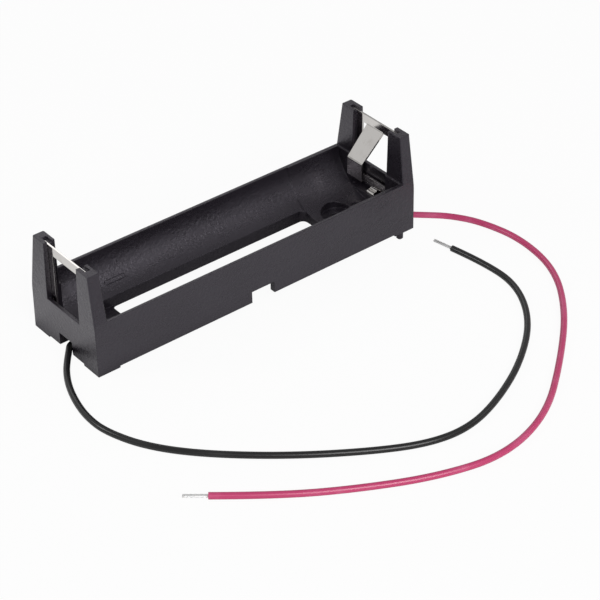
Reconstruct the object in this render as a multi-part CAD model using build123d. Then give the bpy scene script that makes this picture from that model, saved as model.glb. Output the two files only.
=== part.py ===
"""Holder for one cylindrical cell: a moulded cradle, two folded spring contacts and two soldered leads.

Millimetres. X runs along the cell with the positive end at +X, Z is up, and z = 0 is the height of
the locating pegs' tips. The holder's middle is at x = y = 0.
"""
import os
from math import radians, tan

from build123d import *

# Cell that the holder takes
CELL_DIAMETER = 18.4
CELL_LENGTH = 65.0
CELL_CLEARANCE = 0.4       # between the cell and the trough, on the radius
SPRING_PRELOAD = 0.5       # how far each contact is pushed back by the cell

# Cradle, from the bottom up
PEG_LENGTH = 2.0
FOOT_HEIGHT = 0.4
UNDERSIDE_RECESS = 0.8     # from the walls' lower edges up to the floor
FLOOR_THICKNESS = 1.75     # at the trough's lowest line
WALL_BELOW_AXIS = 1.2      # the side walls stop this far under the cell's axis
TOWER_RISE = 10.15         # from the side walls' tops to the towers' tops
SILL_BELOW_AXIS = 3.35     # lower edge of the opening between two towers

# Cradle, walls in plan
RIM_THICKNESS = 0.8        # side wall at its top, beside the plain trough
SIDE_DRAFT = 1.0           # degrees, the side walls widen downwards
SIDE_WALL = 1.3            # beside the hollows under the trough
SHELL_THICKNESS = 1.6      # trough wall above those hollows
SKIN_THICKNESS = 1.05      # outside the contact's grooves
SILL_THICKNESS = 0.7       # end wall between the towers
END_WALL = 2.25            # end wall under the contact's bay
BAY_LENGTH = 2.2           # from the trough's end to the skin
BAY_FLOOR = 1.05           # floor of the contact's bay, over the lead's notch
TOWER_LENGTH = 2.9         # along X, at the foot of the tower
TOWER_TAPER = 1.45         # lean of the tower's outer side, over its height
TOWER_DRAFT = 0.2          # lean of its inner and outer end faces
TOWER_ROUNDING = 0.3
OPENING_WIDTH = 10.6       # between the two towers of one end

# Openings in the floor and the walls, the insets from the trough's ends
SLOT_NEGATIVE_INSET = 10.25
SLOT_POSITIVE_INSET = 13.2
SLOT_WIDTH = 9.0
SLOT_CORNER = 1.2
LEDGE_LENGTH = 3.65        # step at the slot's negative end
LEDGE_DEPTH = 1.25
RELIEF = 0.25              # the trough is this much wider from its negative end to the slot's end
SCREW_INSET = 7.9
SCREW_HOLE = 3.2
SCREW_HEAD_RECESS = 7.0
SCREW_HEAD_DEPTH = 0.95
SIDE_NOTCH_WIDTH = 5.5
SIDE_NOTCH_HEIGHT = 2.5
LEAD_NOTCH_WIDTH = 4.2
LEAD_NOTCH_HEIGHT = 2.75

# Underside
FOOT_LENGTH = 4.9
FOOT_WIDTH = 4.8
PEG_DIAMETER = 1.4
PEG_END_INSET = 2.6        # peg axis from the end face
PEG_SIDE_INSET = 1.2       # peg axis from the side face
PEG_CHAMFER = 0.25
HOLLOW_END_INSET = 5.85    # two long hollows under the trough's flanks, from the end faces
HOLLOW_INNER = 6.0         # their inner sides, from the middle
POCKET_END_INSET = 1.85    # solder pockets under the ends, from the end faces
POCKET_LENGTH = 4.0
POCKET_WIDTH = 8.0
POCKET_ROOF = 1.0          # above the floor's underside

# Spring contact, folded from strip
STRIP = 0.4
STRIP_CLEARANCE = 0.05     # around the strip in its grooves and slots
GROOVE_LEAD_IN = 0.55      # the grooves are this much wider above the strip
STRIP_BEND = 0.5           # inner bend radius
EAR = 1.8                  # depth of the plate's edges in the tower grooves
PLATE_BELOW_TOWER = 0.45
CROSSBAR_HEIGHT = 1.9
WINDOW_WIDTH = 7.8
WINDOW_SILL = 2.4          # window's lower edge below the opening's sill
TONGUE_WIDTH = 5.0
TONGUE_TIP_WIDTH = 4.4
TONGUE_REACH = 5.55        # from the plate to the tongue's ridge
RIDGE_ABOVE_AXIS = 1.15
TONGUE_TIP_DROP = 3.9
TAIL_WIDTH = 2.0
TAIL_SETBACK = 1.4         # from the plate to the tail
TAIL_BELOW_FLOOR = 0.45

# Leads and their solder joints
LEAD_DIAMETER = 1.3
LEAD_FLATS = 16            # a lead's section is a polygon, to keep its facets few
STRAND_DIAMETER = 0.6
BARE_LENGTH = 4.5
LEAD_IN_NOTCH = 0.75       # lead axis above the end wall's lower edge
LEAD_BEND_INSET = 0.8      # first point of a lead's bend, inside the end face
SOLDER_LENGTH = 0.7
SOLDER_DIAMETER = 1.9
SOLDER_NECK = 1.0
SOLDER_HOLLOW = 0.15       # depth of the hollow in the cone's flank
ARC_SHARE = 0.45           # share of the shorter run that an arc takes up

# Points of the leads: x, y and drop while they come down from the notches, then x and y where they lie
BLACK_FALLING = [(-39.2, -1.2, 0.02), (-41.1, -3.2, 0.15), (-43.0, -6.1, 0.32)]
BLACK_LYING = [
    (-45.1, -10.0), (-46.7, -14.6), (-47.7, -19.6), (-47.5, -25.1), (-44.3, -33.0), (-37.6, -41.1),
    (-26.1, -50.8), (-13.5, -59.0), (-4.1, -63.5), (4.4, -64.5), (13.8, -61.8), (25.3, -56.0),
    (36.2, -47.4), (42.4, -37.4), (42.8, -27.8), (41.3, -19.6),
]
RED_FALLING = [(40.0, -0.7, 0.5), (41.2, -2.4, 1.6), (42.8, -4.8, 2.5)]
RED_LYING = [
    (45.2, -7.0), (49.0, -10.6), (52.4, -16.4), (54.4, -26.2), (52.0, -38.2), (43.8, -49.4),
    (31.5, -60.3), (17.9, -70.4), (3.8, -74.2), (-9.6, -71.1), (-22.6, -65.0), (-34.2, -58.1),
    (-43.8, -50.6),
]

# Derived heights
trough_radius = CELL_DIAMETER / 2 + CELL_CLEARANCE
wall_bottom_z = PEG_LENGTH + FOOT_HEIGHT
floor_z = wall_bottom_z + UNDERSIDE_RECESS
trough_z = floor_z + FLOOR_THICKNESS
axis_z = trough_z + trough_radius
wall_top_z = axis_z - WALL_BELOW_AXIS
tower_top_z = wall_top_z + TOWER_RISE
plate_top_z = tower_top_z - PLATE_BELOW_TOWER
sill_z = axis_z - SILL_BELOW_AXIS
lead_notch_z = wall_bottom_z + LEAD_NOTCH_HEIGHT
bay_floor_z = lead_notch_z + BAY_FLOOR
lead_z = wall_bottom_z + LEAD_IN_NOTCH

# Derived places in plan
ridge_x = CELL_LENGTH / 2 - SPRING_PRELOAD
plate_x = ridge_x + TONGUE_REACH
skin_x = plate_x + STRIP / 2 + STRIP_CLEARANCE
end_x = skin_x + SKIN_THICKNESS
sill_x = end_x - SILL_THICKNESS
bay_x = skin_x - BAY_LENGTH
end_wall_x = end_x - END_WALL
peg_x = end_x - PEG_END_INSET
screw_x = bay_x - SCREW_INSET
slot_start_x = SLOT_NEGATIVE_INSET - bay_x
slot_end_x = bay_x - SLOT_POSITIVE_INSET
half_top = trough_radius + RIM_THICKNESS
half_bottom = half_top + tan(radians(SIDE_DRAFT)) * (wall_top_z - wall_bottom_z)
half_opening = OPENING_WIDTH / 2
tail_x = plate_x - TAIL_SETBACK
lead_start_x = tail_x + STRIP / 2 + SOLDER_LENGTH
lead_bend_x = end_x - LEAD_BEND_INSET


def block(x0, x1, y0, y1, z0, z1):
    """Box between two opposite corners."""
    return Pos((x0 + x1) / 2, (y0 + y1) / 2, (z0 + z1) / 2) * Box(x1 - x0, y1 - y0, z1 - z0)


def along_x(face, x0, x1):
    """Solid made by drawing a face, sketched on the YZ plane, from x0 to x1."""
    return extrude(Plane.YZ.offset(x0) * face, x1 - x0)


def both_ends(solid):
    """A solid and its copy turned half round about Z."""
    return [solid, Rot(0, 0, 180) * solid]


def mirrored(solid):
    """A solid and its mirror image across the XZ plane."""
    return [solid, mirror(solid, Plane.XZ)]


def outer_form():
    """Walls and towers before anything is hollowed out, with the towers' corners rounded."""
    tower_y = half_top - TOWER_TAPER
    front = make_face(Polyline(
        (-half_bottom, wall_bottom_z), (half_bottom, wall_bottom_z), (half_top, wall_top_z),
        (tower_y, tower_top_z), (-tower_y, tower_top_z), (-half_top, wall_top_z), close=True))
    outer_top_x = end_x - TOWER_DRAFT
    foot_x = end_x - TOWER_LENGTH
    top_x = foot_x + TOWER_DRAFT
    right = [(end_x, wall_bottom_z), (end_x, wall_top_z), (outer_top_x, tower_top_z),
             (top_x, tower_top_z), (foot_x, wall_top_z)]
    left = [(-x, z) for x, z in reversed(right)]
    side = Plane.XZ * make_face(Polyline(*right, *left, close=True))
    form = along_x(front, -end_x, end_x) & extrude(side, 2 * half_bottom, both=True)
    tower_corners = form.edges().group_by(Axis.Z)[-2]
    return fillet(tower_corners, TOWER_ROUNDING)


def trough():
    """Space for the cell, wider as far as the floor slot's end, and open above."""
    def channel(radius, x0, x1):
        bore = along_x(Pos(0, axis_z) * Circle(radius), x0, x1)
        return bore + block(x0, x1, -radius, radius, axis_z, tower_top_z)

    return [channel(trough_radius, -bay_x, bay_x),
            channel(trough_radius + RELIEF, -bay_x, slot_end_x)]


def contact_bay():
    """Room for one contact at the +X end: bay, end opening, tower grooves and the slot for its tail."""
    groove_y = half_opening + EAR + STRIP_CLEARANCE
    groove_x = plate_x - STRIP / 2 - STRIP_CLEARANCE
    slot_gap = STRIP / 2 + 2 * STRIP_CLEARANCE
    slot_y = TAIL_WIDTH / 2 + 2 * STRIP_CLEARANCE
    return [
        block(bay_x, sill_x, -half_opening, half_opening, bay_floor_z, tower_top_z),
        block(bay_x, end_x, -half_opening, half_opening, sill_z, tower_top_z),
        block(groove_x, skin_x, -groove_y, groove_y, bay_floor_z, tower_top_z),
        block(groove_x - GROOVE_LEAD_IN, skin_x, -groove_y, groove_y, plate_top_z, tower_top_z),
        block(tail_x - slot_gap, tail_x + slot_gap + STRIP_BEND, -slot_y, slot_y,
              wall_bottom_z, bay_floor_z),
    ]


def lead_exit():
    """Solder pocket under one end and the notch that its lead leaves by."""
    half_notch = LEAD_NOTCH_WIDTH / 2
    half_pocket = POCKET_WIDTH / 2
    pocket_x = end_x - POCKET_END_INSET
    return [
        block(pocket_x - POCKET_LENGTH, pocket_x, -half_pocket, half_pocket,
              wall_bottom_z, floor_z + POCKET_ROOF),
        block(end_wall_x, end_x, -half_notch, half_notch, wall_bottom_z, lead_notch_z),
    ]


def underside():
    """Shallow recess under the floor, long hollows under the trough's flanks and the side notches."""
    wall_y = half_bottom - SIDE_WALL
    half_hollow = end_x - HOLLOW_END_INSET
    half_notch = SIDE_NOTCH_WIDTH / 2
    flank = block(-half_hollow, half_hollow, HOLLOW_INNER, wall_y, wall_bottom_z, axis_z)
    shell = along_x(Pos(0, axis_z) * Circle(trough_radius + SHELL_THICKNESS), -half_hollow, half_hollow)
    notch = block(-half_notch, half_notch, HOLLOW_INNER, half_bottom,
                  wall_bottom_z, wall_bottom_z + SIDE_NOTCH_HEIGHT)
    recess = block(-end_wall_x, end_wall_x, -HOLLOW_INNER, HOLLOW_INNER, wall_bottom_z, floor_z)
    return [recess, *mirrored(flank - shell), *mirrored(notch)]


def floor_openings():
    """Long slot with its ledge, and the screw hole with its head recess."""
    slot_middle = (slot_start_x + slot_end_x) / 2
    outline = RectangleRounded(slot_end_x - slot_start_x, SLOT_WIDTH, SLOT_CORNER)
    slot = extrude(Pos(slot_middle, 0, wall_bottom_z) * outline, axis_z - wall_bottom_z)
    ledge = block(slot_start_x - LEDGE_LENGTH, slot_start_x + SLOT_CORNER, -SLOT_WIDTH / 2, SLOT_WIDTH / 2,
                  trough_z - LEDGE_DEPTH, axis_z)
    hole = extrude(Pos(screw_x, 0, wall_bottom_z) * Circle(SCREW_HOLE / 2), axis_z - wall_bottom_z)
    recess_z = trough_z - SCREW_HEAD_DEPTH
    recess = extrude(Pos(screw_x, 0, recess_z) * Circle(SCREW_HEAD_RECESS / 2), axis_z - recess_z)
    return [slot, ledge, hole, recess]


def feet_and_pegs():
    """Four corner feet, and the two pegs that stand under the positive end."""
    foot = block(end_x - FOOT_LENGTH, end_x, half_bottom - FOOT_WIDTH, half_bottom,
                 PEG_LENGTH, wall_bottom_z)
    feet = [turned for pair in mirrored(foot) for turned in both_ends(pair)]
    shaft = Cylinder(PEG_DIAMETER / 2, wall_bottom_z, align=(Align.CENTER, Align.CENTER, Align.MIN))
    peg = chamfer(shaft.edges().sort_by(Axis.Z)[0], PEG_CHAMFER)
    return feet + mirrored(Pos(peg_x, half_bottom - PEG_SIDE_INSET) * peg)


def holder_body():
    """The moulded cradle."""
    body = outer_form()
    for cut in trough() + floor_openings() + underside():
        body -= cut
    for cut in contact_bay() + lead_exit():
        for turned in both_ends(cut):
            body -= turned
    for piece in feet_and_pegs():
        body += piece
    return body


def bent_strip(points, thickness, bend):
    """Face of a strip folded along points, with the same inner radius at every fold."""
    runs = [Vector(*b) - Vector(*a) for a, b in zip(points, points[1:])]
    normals = [Vector(-run.Y, run.X).normalized() for run in runs]
    turns = [a.cross(b).Z for a, b in zip(runs, runs[1:])]

    def edge(side):
        mitres = [normals[0]]
        for a, b in zip(normals, normals[1:]):
            mitres.append((a + b) / (1 + a.dot(b)))
        mitres.append(normals[-1])
        corners = [Vector(*p) + m * (side * thickness / 2) for p, m in zip(points, mitres)]
        radii = [bend if turn * side > 0 else bend + thickness for turn in turns]
        return FilletPolyline(*corners, radius=radii)

    left, right = edge(1), edge(-1)
    return make_face([left, right, Line(left @ 0, right @ 0), Line(left @ 1, right @ 1)])


def contact():
    """Folded spring strip for the +X end: plate, sprung tongue and solder tail."""
    root_z = plate_top_z - CROSSBAR_HEIGHT
    ridge_z = axis_z + RIDGE_ABOVE_AXIS
    seat_z = bay_floor_z + STRIP_CLEARANCE + STRIP / 2
    half_plate = half_opening + EAR
    plate = block(plate_x - STRIP / 2, plate_x + STRIP / 2, -half_plate, half_plate,
                  seat_z + STRIP_BEND + STRIP / 2, plate_top_z)
    window = block(plate_x - STRIP, plate_x + STRIP, -WINDOW_WIDTH / 2, WINDOW_WIDTH / 2,
                   sill_z - WINDOW_SILL, root_z)
    tongue_line = [(plate_x, root_z + CROSSBAR_HEIGHT / 2), (plate_x, root_z),
                   (ridge_x + STRIP / 2, ridge_z), (ridge_x + STRIP / 2, ridge_z - TONGUE_TIP_DROP)]
    tail_line = [(plate_x, sill_z - WINDOW_SILL), (plate_x, seat_z), (tail_x, seat_z),
                 (tail_x, floor_z - TAIL_BELOW_FLOOR)]
    half_root, half_tip = TONGUE_WIDTH / 2, TONGUE_TIP_WIDTH / 2
    outline = make_face(Polyline((plate_x + STRIP, -half_root), (plate_x + STRIP, half_root),
                                 (ridge_x, half_tip), (ridge_x - STRIP, half_tip),
                                 (ridge_x - STRIP, -half_tip), (ridge_x, -half_tip), close=True))
    tongue = extrude(Plane.XZ * bent_strip(tongue_line, STRIP, STRIP_BEND), TONGUE_WIDTH, both=True)
    tongue &= extrude(outline, tower_top_z)
    tail = extrude(Plane.XZ * bent_strip(tail_line, STRIP, STRIP_BEND), TAIL_WIDTH / 2, both=True)
    return (plate - window) + tongue + tail


def solder_joint():
    """Hollow-sided cone of solder between the tail and the end of a lead, at the +X end."""
    start_x = tail_x + STRIP / 2
    flank = SagittaArc((start_x, SOLDER_DIAMETER / 2), (lead_start_x, SOLDER_NECK / 2), -SOLDER_HOLLOW)
    axis = Polyline(flank @ 1, (lead_start_x, 0), (start_x, 0), flank @ 0)
    return Pos(0, 0, lead_z) * revolve(make_face([flank, axis]), Axis.X)


def lead_route(end, falling, lying):
    """Points of a lead's axis, from the solder joint at one end (1 or -1) to the end of the insulation.

    The holder leans on its pegs and on the feet of the other end, so the surface that the lead lies on
    rises from the pegs towards those feet.
    """
    def lying_z(x):
        return LEAD_DIAMETER / 2 + max(0.0, PEG_LENGTH * (peg_x - x) / (peg_x + end_x))

    inside = [(end * x, 0.0, lead_z) for x in (lead_start_x, lead_bend_x)]
    return inside + [(x, y, lead_z - drop) for x, y, drop in falling] + [(x, y, lying_z(x)) for x, y in lying]


def arc_radii(route):
    """As large a radius at each point of a route as its two runs allow."""
    radii = []
    for before, here, after in zip(route, route[1:], route[2:]):
        arriving, leaving = Vector(*here) - Vector(*before), Vector(*after) - Vector(*here)
        shorter = min(arriving.length, leaving.length)
        radii.append(ARC_SHARE * shorter / tan(radians(arriving.get_angle(leaving) / 2)))
    return radii


def lead(name, route):
    """Insulated lead along its route, and its bare twisted end."""
    radii = arc_radii(route)
    path = FilletPolyline(*route, radius=radii)
    section = Plane(path @ 0, z_dir=path % 0) * RegularPolygon(LEAD_DIAMETER / 2, LEAD_FLATS)
    cord = sweep(section, path)
    tip = Plane(path @ 1, z_dir=path % 1) * Circle(STRAND_DIAMETER / 2)
    expected = section.area * path.length
    print(name, "length", round(path.length, 1), "volume over section times length",
          round(cord.volume / expected, 4), "radii", [round(r, 1) for r in radii])
    return cord, extrude(tip, BARE_LENGTH, dir=path % 1)


half_turn = Rot(0, 0, 180)
black_lead, black_strands = lead("black_lead", lead_route(-1, BLACK_FALLING, BLACK_LYING))
red_lead, red_strands = lead("red_lead", lead_route(1, RED_FALLING, RED_LYING))
NODES = {
    "holder_body": holder_body(),
    "positive_contact": contact(),
    "negative_contact": half_turn * contact(),
    "positive_solder_joint": solder_joint(),
    "negative_solder_joint": half_turn * solder_joint(),
    "red_lead": red_lead,
    "red_lead_strands": red_strands,
    "black_lead": black_lead,
    "black_lead_strands": black_strands,
}

os.makedirs("parts", exist_ok=True)
for node, shape in NODES.items():
    export_step(shape, f"parts/{node}.step")
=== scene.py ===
"""Dresses the packed cell holder.

Moulded plastic, nickel contacts, two soldered leads, polarity signs and a stage.
"""

import math

import bmesh
import bpy
from bpy.props import (
    FloatProperty,
    FloatVectorProperty,
    IntProperty,
    PointerProperty,
)
from mathutils import Matrix, Vector


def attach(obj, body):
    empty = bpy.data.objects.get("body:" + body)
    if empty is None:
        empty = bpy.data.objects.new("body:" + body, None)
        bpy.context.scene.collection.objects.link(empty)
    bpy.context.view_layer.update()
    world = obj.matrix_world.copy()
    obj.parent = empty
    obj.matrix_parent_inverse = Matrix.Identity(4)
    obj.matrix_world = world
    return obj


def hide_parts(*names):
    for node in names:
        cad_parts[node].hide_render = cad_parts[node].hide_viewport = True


bl_info = {
    "name": "Cell Holder",
    "version": (1, 0, 0),
    "blender": (4, 5, 0),
    "location": "View3D > Sidebar > Cell Holder",
    "description": "Finishes, leads, polarity signs and a stage for a moulded cylindrical cell holder",
    "category": "Object",
}

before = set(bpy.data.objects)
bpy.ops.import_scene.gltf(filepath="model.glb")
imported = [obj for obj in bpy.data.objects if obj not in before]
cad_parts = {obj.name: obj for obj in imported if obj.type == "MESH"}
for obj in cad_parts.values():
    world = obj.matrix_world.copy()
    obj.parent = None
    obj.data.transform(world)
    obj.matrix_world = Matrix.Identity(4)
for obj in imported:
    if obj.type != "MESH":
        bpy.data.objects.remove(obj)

MM = 0.001
WHITE = (1.0, 1.0, 1.0, 1.0)

# The two leads' routes in millimetres, from the solder joint to the end of the insulation.
BLACK_ROUTE = [
    (-37.05, 0.0, 3.15),
    (-38.05, 0.0, 3.15),
    (-39.2, -1.4, 3.13),
    (-41.0, -3.5, 3.0),
    (-43.0, -6.1, 2.83),
    (-45.1, -10.0, 2.816),
    (-46.7, -14.6, 2.859),
    (-47.7, -19.6, 2.886),
    (-47.5, -25.1, 2.88),
    (-44.3, -33.0, 2.795),
    (-37.6, -41.1, 2.617),
    (-26.1, -50.8, 2.31),
    (-13.5, -59.0, 1.975),
    (-4.1, -63.5, 1.725),
    (4.4, -64.5, 1.498),
    (13.8, -61.8, 1.248),
    (25.3, -56.0, 0.942),
    (36.2, -47.4, 0.651),
    (42.4, -37.4, 0.65),
    (42.8, -27.8, 0.65),
    (41.3, -19.6, 0.65),
]
RED_ROUTE = [
    (37.05, 0.0, 3.15),
    (38.05, 0.0, 3.15),
    (40.0, -0.7, 2.65),
    (41.2, -2.4, 1.55),
    (42.8, -4.8, 0.65),
    (45.2, -7.0, 0.65),
    (49.0, -10.6, 0.65),
    (52.4, -16.4, 0.65),
    (54.4, -26.2, 0.65),
    (52.0, -38.2, 0.65),
    (43.8, -49.4, 0.65),
    (31.5, -60.3, 0.777),
    (17.9, -70.4, 1.139),
    (3.8, -74.2, 1.514),
    (-9.6, -71.1, 1.871),
    (-22.6, -65.0, 2.217),
    (-34.2, -58.1, 2.526),
    (-43.8, -50.6, 2.782),
]

# Each bare end's wires: how finely they are drawn, and the largest share by which one is cut short.
STEPS_PER_TURN = 24
WIRE_SIDES = 8
CUT_SHORT = 0.03

# How strongly each smooth surface mirrors, as the shader's Specular IOR Level.
BODY_SHINE = 0.74
SIGN_SHINE = 0.2
RED_SHINE = 0.7
BLACK_SHINE = 0.55

# Where each sign stands on the trough's far wall, in millimetres: along the holder, above its
# base, and the wall's radius there.
SIGN_PLACES = {"minus": (-22.6, 7.5, 9.85), "plus": (29.4, 9.8, 9.6)}
TROUGH_AXIS = 0.01455

HALF_LENGTH = 0.03885
HALF_WIDTH = 0.0106

# The holder leans on its pegs at one end and on its feet at the other.
PEG_ALONG = 0.03625
FEET_HEIGHT = 0.002

# The floor: its half width, how much of it the camera sees as plain white, how far from the
# holder its painted reflection of white glow starts and fades, and how much of that painted reflection
# is left in front, as painted shade.
FLOOR_HALF = 4.0
FLOOR_SEEN = 0.94
PAINTED_GLOW_START = 0.004
PAINTED_GLOW_FADE = (0.008, 0.045)
PAINTED_FRONT_SHARE = 0.3
PAINTED_FRONT_FADE = (-0.016, -0.004)

# How much of the white background far away is seen in a reflection, next to that of the floor.
FAR_SHARE = 0.28

# The two lamps' widths and heights, and where they hang.
KEY_LAMP = ((0.14, 0.14), (-0.432, 0.228, 0.348))
FILL_LAMP = ((0.5, 0.5), (-0.1, -0.7, 0.5))

# The cards round the holder: how bright each one is, its width and height, and where it hangs.
CARDS = {
    "trough_card": (0.95, (0.096, 0.052), (0.0684, -0.135, 0.1)),
    "contact_card": (0.95, (0.28, 0.28), (-0.334, 0.378, 0.317)),
    "back_card": (4.0, (0.5, 0.14), (0.09, 0.468, 0.36)),
    "right_card": (4.0, (0.14, 0.14), (0.456, -0.168, 0.351)),
}


def colour_setting(name, description, default):
    """A colour in the sidebar."""
    return FloatVectorProperty(
        name=name,
        description=description,
        subtype="COLOR",
        size=4,
        min=0.0,
        max=1.0,
        default=(*default, 1.0),
    )


def length_setting(name, description, default, least=0.0):
    """A length in metres in the sidebar."""
    return FloatProperty(
        name=name,
        description=description,
        unit="LENGTH",
        min=least,
        precision=5,
        default=default,
    )


def power_setting(name, description, default):
    """A lamp's power in watts in the sidebar."""
    return FloatProperty(
        name=name, description=description, unit="POWER", min=0.0, default=default
    )


def share_setting(name, description, default):
    """A plain number from 0 up in the sidebar."""
    return FloatProperty(name=name, description=description, min=0.0, default=default)


class HolderFinishes(bpy.types.PropertyGroup):
    """Colours of the holder's own pieces."""

    body_colour: colour_setting(
        "Body", "Colour of the moulded body", (0.0088, 0.007, 0.0102)
    )
    body_fleck: colour_setting(
        "Body Fleck",
        "Lighter colour of the body's fine moulded grain",
        (0.0155, 0.013, 0.0178),
    )
    contact_colour: colour_setting(
        "Contact", "Colour of the contacts' nickel plate", (0.64, 0.62, 0.6)
    )
    contact_stain: colour_setting(
        "Contact Stain", "Colour of the plate where it is dull", (0.5, 0.475, 0.455)
    )
    solder_colour: colour_setting("Solder", "Colour of the solder joints", (0.6, 0.6, 0.61))
    edge_radius: length_setting(
        "Edge Radius", "How far the light rounds the body's moulded edges", 0.0002
    )


class LeadSizes(bpy.types.PropertyGroup):
    """Sizes and colours of the two leads."""

    diameter: length_setting("Diameter", "Thickness of the insulation", 0.0013, 0.0003)
    bare_length: length_setting(
        "Bare Length", "Length of the bare strands past the insulation", 0.0045
    )
    strand_diameter: length_setting(
        "Strand Diameter", "Thickness of one bare strand", 0.00022, 0.00002
    )
    strand_pitch: length_setting(
        "Strand Pitch",
        "Length in which the strands turn once round the core",
        0.0052,
        0.0005,
    )
    outer_strands: IntProperty(
        name="Outer Strands",
        description="Number of strands twisted round the core strand",
        min=3,
        max=12,
        default=6,
    )
    red_colour: colour_setting("Red", "Colour of the red insulation", (0.59, 0.046, 0.165))
    red_pale: colour_setting(
        "Rubbed Red", "Colour of the red insulation where it is rubbed", (0.63, 0.085, 0.215)
    )
    black_colour: colour_setting(
        "Black", "Colour of the black insulation", (0.006, 0.006, 0.0065)
    )
    black_pale: colour_setting(
        "Rubbed Black",
        "Colour of the black insulation where it is rubbed",
        (0.011, 0.011, 0.0115),
    )


class SignSizes(bpy.types.PropertyGroup):
    """Sizes of the two raised polarity signs in the trough."""

    minus_length: length_setting(
        "Minus Length", "Length of the minus sign along the trough", 0.0046, 0.0005
    )
    plus_length: length_setting(
        "Plus Length", "Length of each stroke of the plus sign", 0.0028, 0.0005
    )
    stroke: length_setting("Stroke", "Width of the minus sign's stroke", 0.0009, 0.0002)
    rim: length_setting(
        "Rim", "Width of the raised rim that draws each sign", 0.00016, 0.00005
    )
    height: length_setting(
        "Height", "How far the rim stands out of the trough's wall", 0.00015
    )


class StageSettings(bpy.types.PropertyGroup):
    """The camera, the lamps and the floor."""

    camera_place: FloatVectorProperty(
        name="Camera Place",
        description="Where the camera stands",
        subtype="TRANSLATION",
        unit="LENGTH",
        size=3,
        precision=5,
        default=(-0.203117, -0.273697, 0.241057),
    )
    camera_turn: FloatVectorProperty(
        name="Camera Turn",
        description="How the camera is turned",
        subtype="EULER",
        unit="ROTATION",
        size=3,
        precision=5,
        default=(0.946632, 0.007233, -0.68383),
    )
    lens: FloatProperty(
        name="Lens",
        description="The camera's focal length in millimetres",
        min=10.0,
        default=126.469,
    )
    key_power: power_setting("Key Lamp", "Power of the lamp on the left", 0.5)
    fill_power: power_setting("Fill Lamp", "Power of the soft lamp in front", 4.4)
    card_power: share_setting(
        "Cards",
        "Power per square metre of the cards that show in the plastic and the contacts",
        1.0,
    )
    ambient: share_setting("Ambient", "Strength of the even light from all round", 0.25)
    mirrored: share_setting(
        "Mirrored", "Share of the white background that is seen in a reflection", 0.9
    )
    floor_colour: colour_setting("Floor", "Colour of the floor", (0.92, 0.92, 0.92))


class Shade:
    """A socket in a material's nodes.

    Arithmetic on it adds Math nodes, and node() adds any other node.
    """

    def __init__(self, tree, socket=None):
        self.tree = tree
        self.socket = socket

    def node(self, kind, settings=None, sockets=None, out=0):
        made = self.tree.nodes.new(kind)
        for name, value in (settings or {}).items():
            setattr(made, name, value)
        for name, value in (sockets or {}).items():
            if isinstance(value, Shade):
                self.tree.links.new(value.socket, made.inputs[name])
            else:
                made.inputs[name].default_value = value
        return Shade(self.tree, made.outputs[out] if made.outputs else None)

    def math(self, operation, first, second=0.0):
        return self.node("ShaderNodeMath", {"operation": operation}, {0: first, 1: second})

    def __add__(self, other):
        return self.math("ADD", self, other)

    def __radd__(self, other):
        return self.math("ADD", other, self)

    def __sub__(self, other):
        return self.math("SUBTRACT", self, other)

    def __rsub__(self, other):
        return self.math("SUBTRACT", other, self)

    def __mul__(self, other):
        return self.math("MULTIPLY", self, other)

    def __pow__(self, other):
        return self.math("POWER", self, other)

    def clipped(self, low, high):
        """This value from low to high spread over 0 to 1, and held there."""
        return self.node(
            "ShaderNodeMapRange",
            {"clamp": True, "interpolation_type": "SMOOTHSTEP"},
            {"Value": self, "From Min": low, "From Max": high},
        )

    def mixed(self, first, second):
        """The first colour where this value is 0, and the second where it is 1."""
        return self.node(
            "ShaderNodeMix", {"data_type": "RGBA"}, {0: self, 6: first, 7: second}, out=2
        )

    def scaled(self, scale):
        """This vector with each of its axes scaled."""
        return self.node("ShaderNodeVectorMath", {"operation": "MULTIPLY"}, {0: self, 1: scale})

    def noise(self, scale, detail=2.0, roughness=0.5):
        """Noise on this vector."""
        return self.node(
            "ShaderNodeTexNoise",
            {"noise_dimensions": "3D"},
            {"Vector": self, "Scale": scale, "Detail": detail, "Roughness": roughness},
        )

    def bump(self, distance, strength=1.0, normal=None):
        """A normal that follows this height."""
        sockets = {"Height": self, "Distance": distance, "Strength": strength}
        if normal is not None:
            sockets["Normal"] = normal
        return self.node("ShaderNodeBump", None, sockets)

    def rounded(self, samples, radius):
        """A normal that rounds the edges."""
        return self.node("ShaderNodeBevel", {"samples": samples}, {"Radius": radius})


def first_shade(holder):
    """The first socket of a material or world whose nodes are cleared."""
    holder.use_nodes = True
    holder.node_tree.nodes.clear()
    return Shade(holder.node_tree)


def new_finish(name):
    """An empty material, its first socket and its Object coordinates."""
    material = bpy.data.materials.new(name)
    start = first_shade(material)
    return material, start, start.node("ShaderNodeTexCoord", out="Object")


def close_finish(material, start, sockets):
    """Ends a material in one shader with these values and links."""
    surface = start.node("ShaderNodeBsdfPrincipled", None, sockets)
    start.node("ShaderNodeOutputMaterial", None, {"Surface": surface})
    return material


def moulded_plastic(name, finishes, shine):
    """Black plastic with the fine grain of an eroded mould, faint flow marks and softened edges."""
    material, start, place = new_finish(name)
    flow = place.scaled((0.35, 1.0, 1.0)).noise(260.0, 3.0, 0.55)
    fleck = place.noise(5200.0, 2.0, 0.6)
    grain = place.noise(1500.0, 4.0, 0.7)
    shade = (flow * 0.45 + fleck * 0.55).clipped(0.32, 0.7)
    edge = start.rounded(6, finishes.edge_radius)
    return close_finish(
        material,
        start,
        {
            "Base Color": shade.mixed(finishes.body_colour, finishes.body_fleck),
            "Roughness": 0.2 + flow * 0.09 + fleck * 0.07,
            "Specular IOR Level": shine,
            "Specular Tint": (0.94, 0.88, 1.0, 1.0),
            "Normal": (grain * 0.7 + flow * 0.3).bump(0.0002, 0.7, edge),
        },
    )


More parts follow.
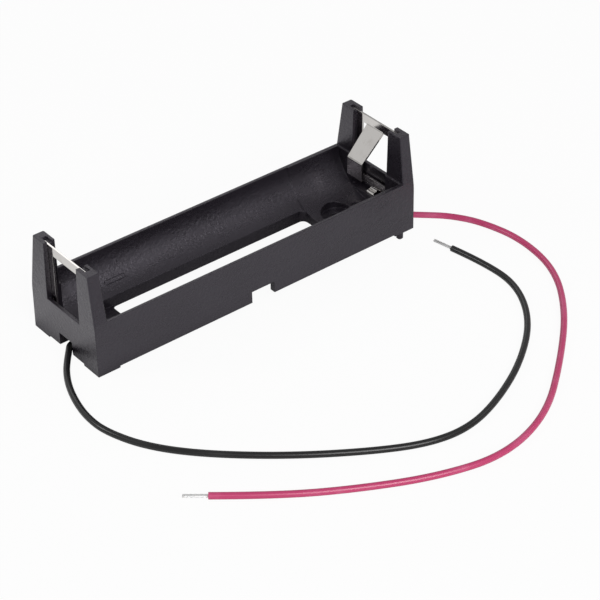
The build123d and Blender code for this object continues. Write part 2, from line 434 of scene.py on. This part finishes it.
def nickel_plate(finishes):
    """Bright plated spring strip with fine lines from rolling and a few dull patches."""
    material, start, place = new_finish("nickel_plate")
    rolled = place.scaled((1.0, 0.06, 1.0)).noise(9000.0, 2.0, 0.5)
    patch = place.noise(420.0, 3.0, 0.6).clipped(0.5, 0.78)
    speck = place.noise(3000.0, 1.0, 0.5).clipped(0.66, 0.78)
    dull = patch * 0.6 + speck * 0.3
    edge = start.rounded(8, 0.00005)
    return close_finish(
        material,
        start,
        {
            "Base Color": dull.mixed(finishes.contact_colour, finishes.contact_stain),
            "Metallic": 1.0,
            "Roughness": 0.06 + dull * 0.14 + rolled * 0.06,
            "Normal": rolled.bump(0.00001, 0.25, edge),
        },
    )


def satin_solder(finishes):
    """Solder that has set with a satin, faintly wrinkled skin."""
    material, start, place = new_finish("satin_solder")
    wrinkle = place.noise(2600.0, 3.0, 0.6)
    flux = place.noise(900.0, 2.0, 0.5).clipped(0.55, 0.75)
    return close_finish(
        material,
        start,
        {
            "Base Color": flux.mixed(finishes.solder_colour, (0.42, 0.38, 0.3, 1.0)),
            "Metallic": 1.0 - flux * 0.35,
            "Roughness": 0.24 + wrinkle * 0.2,
            "Normal": wrinkle.bump(0.00005, 0.4),
        },
    )


def soft_insulation(name, colour, pale, shine):
    """Extruded soft insulation: a smooth skin with faint mottling and rubbed patches."""
    material, start, place = new_finish(name)
    mottle = place.noise(700.0, 3.0, 0.55)
    rubbed = place.noise(190.0, 2.0, 0.5).clipped(0.42, 0.75)
    skin = place.noise(5200.0, 2.0, 0.55)
    shade = (rubbed * 0.6 + mottle * 0.4).clipped(0.2, 0.95)
    return close_finish(
        material,
        start,
        {
            "Base Color": shade.mixed(colour, pale),
            "Roughness": 0.27 + rubbed * 0.08 + skin * 0.03,
            "Specular IOR Level": shine,
            "Normal": (skin * 0.3 + mottle * 0.7).bump(0.00001, 0.15),
        },
    )


def tinned_wire():
    """Tinned copper wire, dull silver with a warm tone where the tin is thin."""
    material, start, place = new_finish("tinned_wire")
    thin = place.noise(2400.0, 2.0, 0.5).clipped(0.58, 0.8)
    drawn = place.noise(9000.0, 2.0, 0.5)
    return close_finish(
        material,
        start,
        {
            "Base Color": thin.mixed((0.82, 0.82, 0.82, 1.0), (0.76, 0.73, 0.69, 1.0)),
            "Metallic": 1.0,
            "Roughness": 0.4 + drawn * 0.14,
            "Normal": drawn.bump(0.00001, 0.3),
        },
    )


def dress(name, material):
    """Gives a packed node its finish."""
    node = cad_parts[name]
    node.data.materials.clear()
    node.data.materials.append(material)


def link_object(name, data):
    """A new object in the scene."""
    made = bpy.data.objects.new(name, data)
    bpy.context.scene.collection.objects.link(made)
    return made


def add_piece(name, data, material, slot, *stands_for):
    """Links a finished piece, which rides on the holder and stands for the named nodes."""
    piece = link_object(name, data)
    piece.data.materials.append(material)
    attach(piece, "root")
    if stands_for:
        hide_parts(*stands_for)
    return piece


def mesh_from(bm, name):
    """A mesh from a bmesh, with its faces turned outwards."""
    bmesh.ops.recalc_face_normals(bm, faces=bm.faces)
    mesh = bpy.data.meshes.new(name)
    bm.to_mesh(mesh)
    bm.free()
    return mesh


def lead_curve(name, route, diameter):
    """One smooth open curve with the route's points as its control points."""
    curve = bpy.data.curves.new(name, "CURVE")
    curve.dimensions = "3D"
    spline = curve.splines.new("NURBS")
    spline.points.add(len(route) - 1)
    for point, place in zip(spline.points, route):
        point.co = (*(value * MM for value in place), 1.0)
    spline.order_u = 3
    spline.use_endpoint_u = True
    spline.resolution_u = 14
    curve.bevel_depth = diameter / 2
    curve.bevel_resolution = 7
    curve.use_fill_caps = True
    return curve


def end_of(curve):
    """The last point of a curve's line and the way that it goes there."""
    bare = bpy.data.objects.new("bare_line", curve.copy())
    bare.data.bevel_depth = 0.0
    line = bpy.data.meshes.new_from_object(bare)
    tip = line.vertices[-1].co.copy()
    way = (tip - line.vertices[-2].co).normalized()
    bpy.data.meshes.remove(line)
    bpy.data.curves.remove(bare.data)
    return tip, way


def bare_strands(name, tip, way, sizes):
    """Thin wires twisted round a core wire, from just inside the insulation to the lead's end."""
    bm = bmesh.new()
    inside = sizes.diameter / 2
    reach = inside + sizes.bare_length
    wire = sizes.strand_diameter / 2
    for index in range(sizes.outer_strands + 1):
        is_core = index == sizes.outer_strands
        short = 0.0 if is_core else CUT_SHORT * ((index * 5) % 7) / 7
        steps = max(2, round(STEPS_PER_TURN * reach * (1 - short) / sizes.strand_pitch))
        rise = reach * (1 - short) / steps
        # The core goes straight up, but a spin needs some angle.
        turn = 1e-6 if is_core else math.tau * reach * (1 - short) / sizes.strand_pitch
        aside = 0.0 if is_core else 2 * wire
        ring = bmesh.ops.create_circle(bm, cap_ends=False, segments=WIRE_SIDES, radius=wire)["verts"]
        start = Matrix.Rotation(math.tau * index / sizes.outer_strands, 4, "Z")
        bmesh.ops.transform(bm, matrix=start @ Matrix.Translation((aside, 0.0, 0.0)), verts=ring)
        edges = list({edge for vert in ring for edge in vert.link_edges})
        bmesh.ops.spin(
            bm,
            geom=ring + edges,
            cent=(0.0, 0.0, 0.0),
            axis=(0.0, 0.0, 1.0),
            dvec=(0.0, 0.0, rise),
            angle=turn,
            steps=steps,
            use_merge=False,
            use_duplicate=False,
        )
    open_edges = [edge for edge in bm.edges if edge.is_boundary]
    bmesh.ops.holes_fill(bm, edges=open_edges, sides=0)
    turn_to = way.to_track_quat("Z", "Y").to_matrix().to_4x4()
    bmesh.ops.transform(
        bm, matrix=Matrix.Translation(tip - way * inside) @ turn_to, verts=bm.verts
    )
    return mesh_from(bm, name)


def on_trough(along, height, radius):
    """A place on the trough's far wall, with the wall's own way out as Z."""
    drop = TROUGH_AXIS - height
    angle = math.asin(drop / radius)
    out = Vector((0.0, -math.cos(angle), math.sin(angle)))
    across = Vector((1.0, 0.0, 0.0))
    turn = Matrix((across, out.cross(across), out)).transposed().to_4x4()
    centre = Vector((along, 0.0, TROUGH_AXIS)) - out * radius
    return Matrix.Translation(centre) @ turn


def raised_sign(name, size, blocks, rim, height, place):
    """A sign drawn by a narrow raised rim: one block, or a cross of five where a side has three."""
    bm = bmesh.new()
    bmesh.ops.create_grid(bm, x_segments=blocks, y_segments=blocks, size=0.5)
    corners = [face for face in bm.faces if min(map(abs, face.calc_center_median().xy)) > 0.25]
    bmesh.ops.delete(bm, geom=corners, context="FACES")
    bmesh.ops.scale(bm, vec=(*size, 1.0), verts=bm.verts)
    outer = [vert for vert in bm.verts if len(vert.link_faces) == 1]
    bmesh.ops.bevel(
        bm, geom=outer, affect="VERTICES", offset=rim, segments=3, profile=0.5, material=-1
    )
    bmesh.ops.translate(bm, vec=(0.0, 0.0, -height), verts=bm.verts)
    bmesh.ops.solidify(bm, geom=bm.faces[:], thickness=-2 * height)
    bmesh.ops.recalc_face_normals(bm, faces=bm.faces)
    tops = [face for face in bm.faces if face.normal.z > 0.9 and face.calc_center_median().z > 0.0]
    bmesh.ops.inset_region(bm, faces=tops, thickness=rim, use_even_offset=True)
    # The middle sinks below the wall, so that the wall itself is seen inside the rim.
    sunk = list({vert for face in tops for vert in face.verts})
    bmesh.ops.translate(bm, vec=(0.0, 0.0, -1.8 * height), verts=sunk)
    bmesh.ops.transform(bm, matrix=place, verts=bm.verts)
    return mesh_from(bm, name)


def seen_rays(start, direct, mirrored):
    """How much of the white background a ray sees: straight or through glass, and in a reflection."""
    camera, glass, glossy = (
        start.node("ShaderNodeLightPath", out=f"Is {kind} Ray")
        for kind in ("Camera", "Transmission", "Glossy")
    )
    return camera * direct + glass * direct + glossy * mirrored


def painted_reflection_mask(place):
    """Painted reflection: 1 on the floor behind the holder and past its ends, less before it as
    painted shade, 0 under it as painted shadow and far off.
    """
    along, across = (
        place.node("ShaderNodeSeparateXYZ", None, {0: place}, out=axis) for axis in "XY"
    )
    past_end = place.math("MAXIMUM", place.math("ABSOLUTE", along) - HALF_LENGTH, 0.0)
    past_side = place.math("MAXIMUM", place.math("ABSOLUTE", across) - HALF_WIDTH, 0.0)
    away = (past_end * past_end + past_side * past_side) ** 0.5
    painted_glow = away.clipped(0.0, PAINTED_GLOW_START) * (1.0 - away.clipped(*PAINTED_GLOW_FADE))
    return painted_glow * (PAINTED_FRONT_SHARE + across.clipped(*PAINTED_FRONT_FADE) * (1.0 - PAINTED_FRONT_SHARE))


def lay_floor(stage):
    """A large white floor that leans as the holder does and keeps its shadow, with a painted
    reflection of white glow round the holder.
    """
    bm = bmesh.new()
    bmesh.ops.create_grid(bm, x_segments=2, y_segments=2, size=FLOOR_HALF)
    lean = Matrix.Rotation(math.atan2(FEET_HEIGHT, PEG_ALONG + HALF_LENGTH), 4, "Y")
    bmesh.ops.transform(bm, matrix=Matrix.Translation((PEG_ALONG, 0.0, 0.0)) @ lean, verts=bm.verts)
    material, start, place = new_finish("white_floor")
    paper = start.node("ShaderNodeBsdfDiffuse", None, {"Color": stage.floor_colour})
    glow = start.node("ShaderNodeEmission", None, {"Color": WHITE, "Strength": 1.0})
    # Painted reflection: in reflections the floor glows white round the holder, dimmer in front as
    # painted shade and not at all under it.
    share = seen_rays(start, FLOOR_SEEN, painted_reflection_mask(place) * stage.mirrored)
    both = start.node("ShaderNodeMixShader", None, {0: share, 1: paper, 2: glow})
    start.node("ShaderNodeOutputMaterial", None, {"Surface": both})
    floor = link_object("floor", mesh_from(bm, "floor"))
    floor.data.materials.append(material)


def light_world(scene, stage):
    """Even light from all round, seen as plain white."""
    world = bpy.data.worlds.new("studio")
    start = first_shade(world)
    even, seen = (
        start.node("ShaderNodeBackground", None, {"Color": WHITE, "Strength": level})
        for level in (stage.ambient, 1.0)
    )
    share = seen_rays(start, 1.0, FAR_SHARE * stage.mirrored)
    both = start.node("ShaderNodeMixShader", None, {0: share, 1: even, 2: seen})
    start.node("ShaderNodeOutputWorld", None, {"Surface": both})
    scene.world = world


def hang_lamp(name, power, size, place):
    """A soft lamp of some width and height that points at the holder."""
    lamp = bpy.data.lights.new(name, "AREA")
    lamp.energy = power
    lamp.shape = "RECTANGLE"
    lamp.size, lamp.size_y = size
    stand = link_object(name, lamp)
    stand.location = place
    stand.rotation_euler = (-Vector(place)).to_track_quat("-Z", "Y").to_euler()


def stand_camera(scene, stage):
    """The camera at the photograph's viewing angle."""
    camera = bpy.data.cameras.new("camera")
    camera.sensor_width = 36.0
    camera.lens = stage.lens
    camera.clip_start = 0.01
    camera.clip_end = 20.0
    stand = link_object("camera", camera)
    stand.location = stage.camera_place
    stand.rotation_euler = stage.camera_turn
    scene.camera = stand


class CELLHOLDER_OT_body(bpy.types.Operator):
    """Give the moulded body its plastic"""

    bl_idname = "cell_holder.body"
    bl_label = "Moulded Body"

    def execute(self, context):
        finishes = context.scene.holder_finishes
        dress("holder_body", moulded_plastic("moulded_plastic", finishes, BODY_SHINE))
        return {"FINISHED"}


class CELLHOLDER_OT_contacts(bpy.types.Operator):
    """Give the two folded contacts their nickel plate"""

    bl_idname = "cell_holder.contacts"
    bl_label = "Spring Contacts"

    def execute(self, context):
        plate = nickel_plate(context.scene.holder_finishes)
        for name in ("positive_contact", "negative_contact"):
            dress(name, plate)
        return {"FINISHED"}


class CELLHOLDER_OT_solder(bpy.types.Operator):
    """Give the two joints under the ends their solder"""

    bl_idname = "cell_holder.solder"
    bl_label = "Solder Joints"

    def execute(self, context):
        solder = satin_solder(context.scene.holder_finishes)
        for name in ("positive_solder_joint", "negative_solder_joint"):
            dress(name, solder)
        return {"FINISHED"}


class CELLHOLDER_OT_leads(bpy.types.Operator):
    """Lay the two leads as smooth cords with bare twisted ends"""

    bl_idname = "cell_holder.leads"
    bl_label = "Leads"

    def execute(self, context):
        sizes = context.scene.lead_sizes
        wire = tinned_wire()
        red = soft_insulation("red_insulation", sizes.red_colour, sizes.red_pale, RED_SHINE)
        black = soft_insulation(
            "black_insulation", sizes.black_colour, sizes.black_pale, BLACK_SHINE
        )
        for colour, route, skin in (("red", RED_ROUTE, red), ("black", BLACK_ROUTE, black)):
            node = f"{colour}_lead"
            curve = lead_curve(f"{colour}_cord", route, sizes.diameter)
            cord = add_piece(f"{colour}_cord", curve, skin, f"{colour}_insulation", node)
            tip, way = end_of(curve)
            strands = add_piece(
                f"{colour}_strands",
                bare_strands(f"{colour}_strands", tip, way, sizes),
                wire,
                "strands",
                f"{node}_strands",
            )
            for face in strands.data.polygons:
                face.use_smooth = True
            [value * MM for value in route[0]]
        return {"FINISHED"}


class CELLHOLDER_OT_signs(bpy.types.Operator):
    """Raise the two polarity signs on the trough's far wall"""

    bl_idname = "cell_holder.signs"
    bl_label = "Polarity Signs"

    def execute(self, context):
        sizes = context.scene.sign_sizes
        plastic = moulded_plastic("matt_sign_plastic", context.scene.holder_finishes, SIGN_SHINE)
        drawn = {
            "minus": ((sizes.minus_length, sizes.stroke), 1),
            "plus": ((sizes.plus_length, sizes.plus_length), 3),
        }
        for sign, (along, height, radius) in SIGN_PLACES.items():
            place = on_trough(along * MM, height * MM, radius * MM)
            mesh = raised_sign(f"{sign}_sign", *drawn[sign], sizes.rim, sizes.height, place)
            add_piece(f"{sign}_sign", mesh, plastic, "body")
        return {"FINISHED"}


class CELLHOLDER_OT_stage(bpy.types.Operator):
    """Set up the floor, the lamps and the camera"""

    bl_idname = "cell_holder.stage"
    bl_label = "Stage"

    def execute(self, context):
        stage = context.scene.stage_settings
        lay_floor(stage)
        light_world(context.scene, stage)
        hang_lamp("key_lamp", stage.key_power, *KEY_LAMP)
        hang_lamp("fill_lamp", stage.fill_power, *FILL_LAMP)
        for name, (level, size, place) in CARDS.items():
            hang_lamp(name, stage.card_power * level * size[0] * size[1], size, place)
        stand_camera(context.scene, stage)
        context.scene.view_settings.view_transform = "Standard"
        return {"FINISHED"}


class CELLHOLDER_PT_sidebar(bpy.types.Panel):
    """Lists the holder's settings and the steps that dress it"""

    bl_label = "Cell Holder"
    bl_idname = "CELLHOLDER_PT_sidebar"
    bl_space_type = "VIEW_3D"
    bl_region_type = "UI"
    bl_category = "Cell Holder"

    def draw(self, context):
        layout = self.layout
        for name, group in GROUPS.items():
            box = layout.box()
            box.label(text=group.__doc__.rstrip("."))
            for setting in group.__annotations__:
                box.prop(getattr(context.scene, name), setting)
        for operator in OPERATORS:
            layout.operator(operator.bl_idname)


GROUPS = {
    "holder_finishes": HolderFinishes,
    "lead_sizes": LeadSizes,
    "sign_sizes": SignSizes,
    "stage_settings": StageSettings,
}
OPERATORS = (
    CELLHOLDER_OT_body,
    CELLHOLDER_OT_contacts,
    CELLHOLDER_OT_solder,
    CELLHOLDER_OT_leads,
    CELLHOLDER_OT_signs,
    CELLHOLDER_OT_stage,
)


def register():
    for name, group in GROUPS.items():
        bpy.utils.register_class(group)
        setattr(bpy.types.Scene, name, PointerProperty(type=group))
    for operator in OPERATORS:
        bpy.utils.register_class(operator)
    bpy.utils.register_class(CELLHOLDER_PT_sidebar)


def unregister():
    bpy.utils.unregister_class(CELLHOLDER_PT_sidebar)
    for operator in reversed(OPERATORS):
        bpy.utils.unregister_class(operator)
    for name, group in GROUPS.items():
        delattr(bpy.types.Scene, name)
        bpy.utils.unregister_class(group)


def main():
    """Dresses the holder step by step."""
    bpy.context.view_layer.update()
    register()
    bpy.ops.cell_holder.body()
    bpy.ops.cell_holder.contacts()
    bpy.ops.cell_holder.solder()
    bpy.ops.cell_holder.leads()
    bpy.ops.cell_holder.signs()
    bpy.ops.cell_holder.stage()


if __name__ == "__main__":
    main()
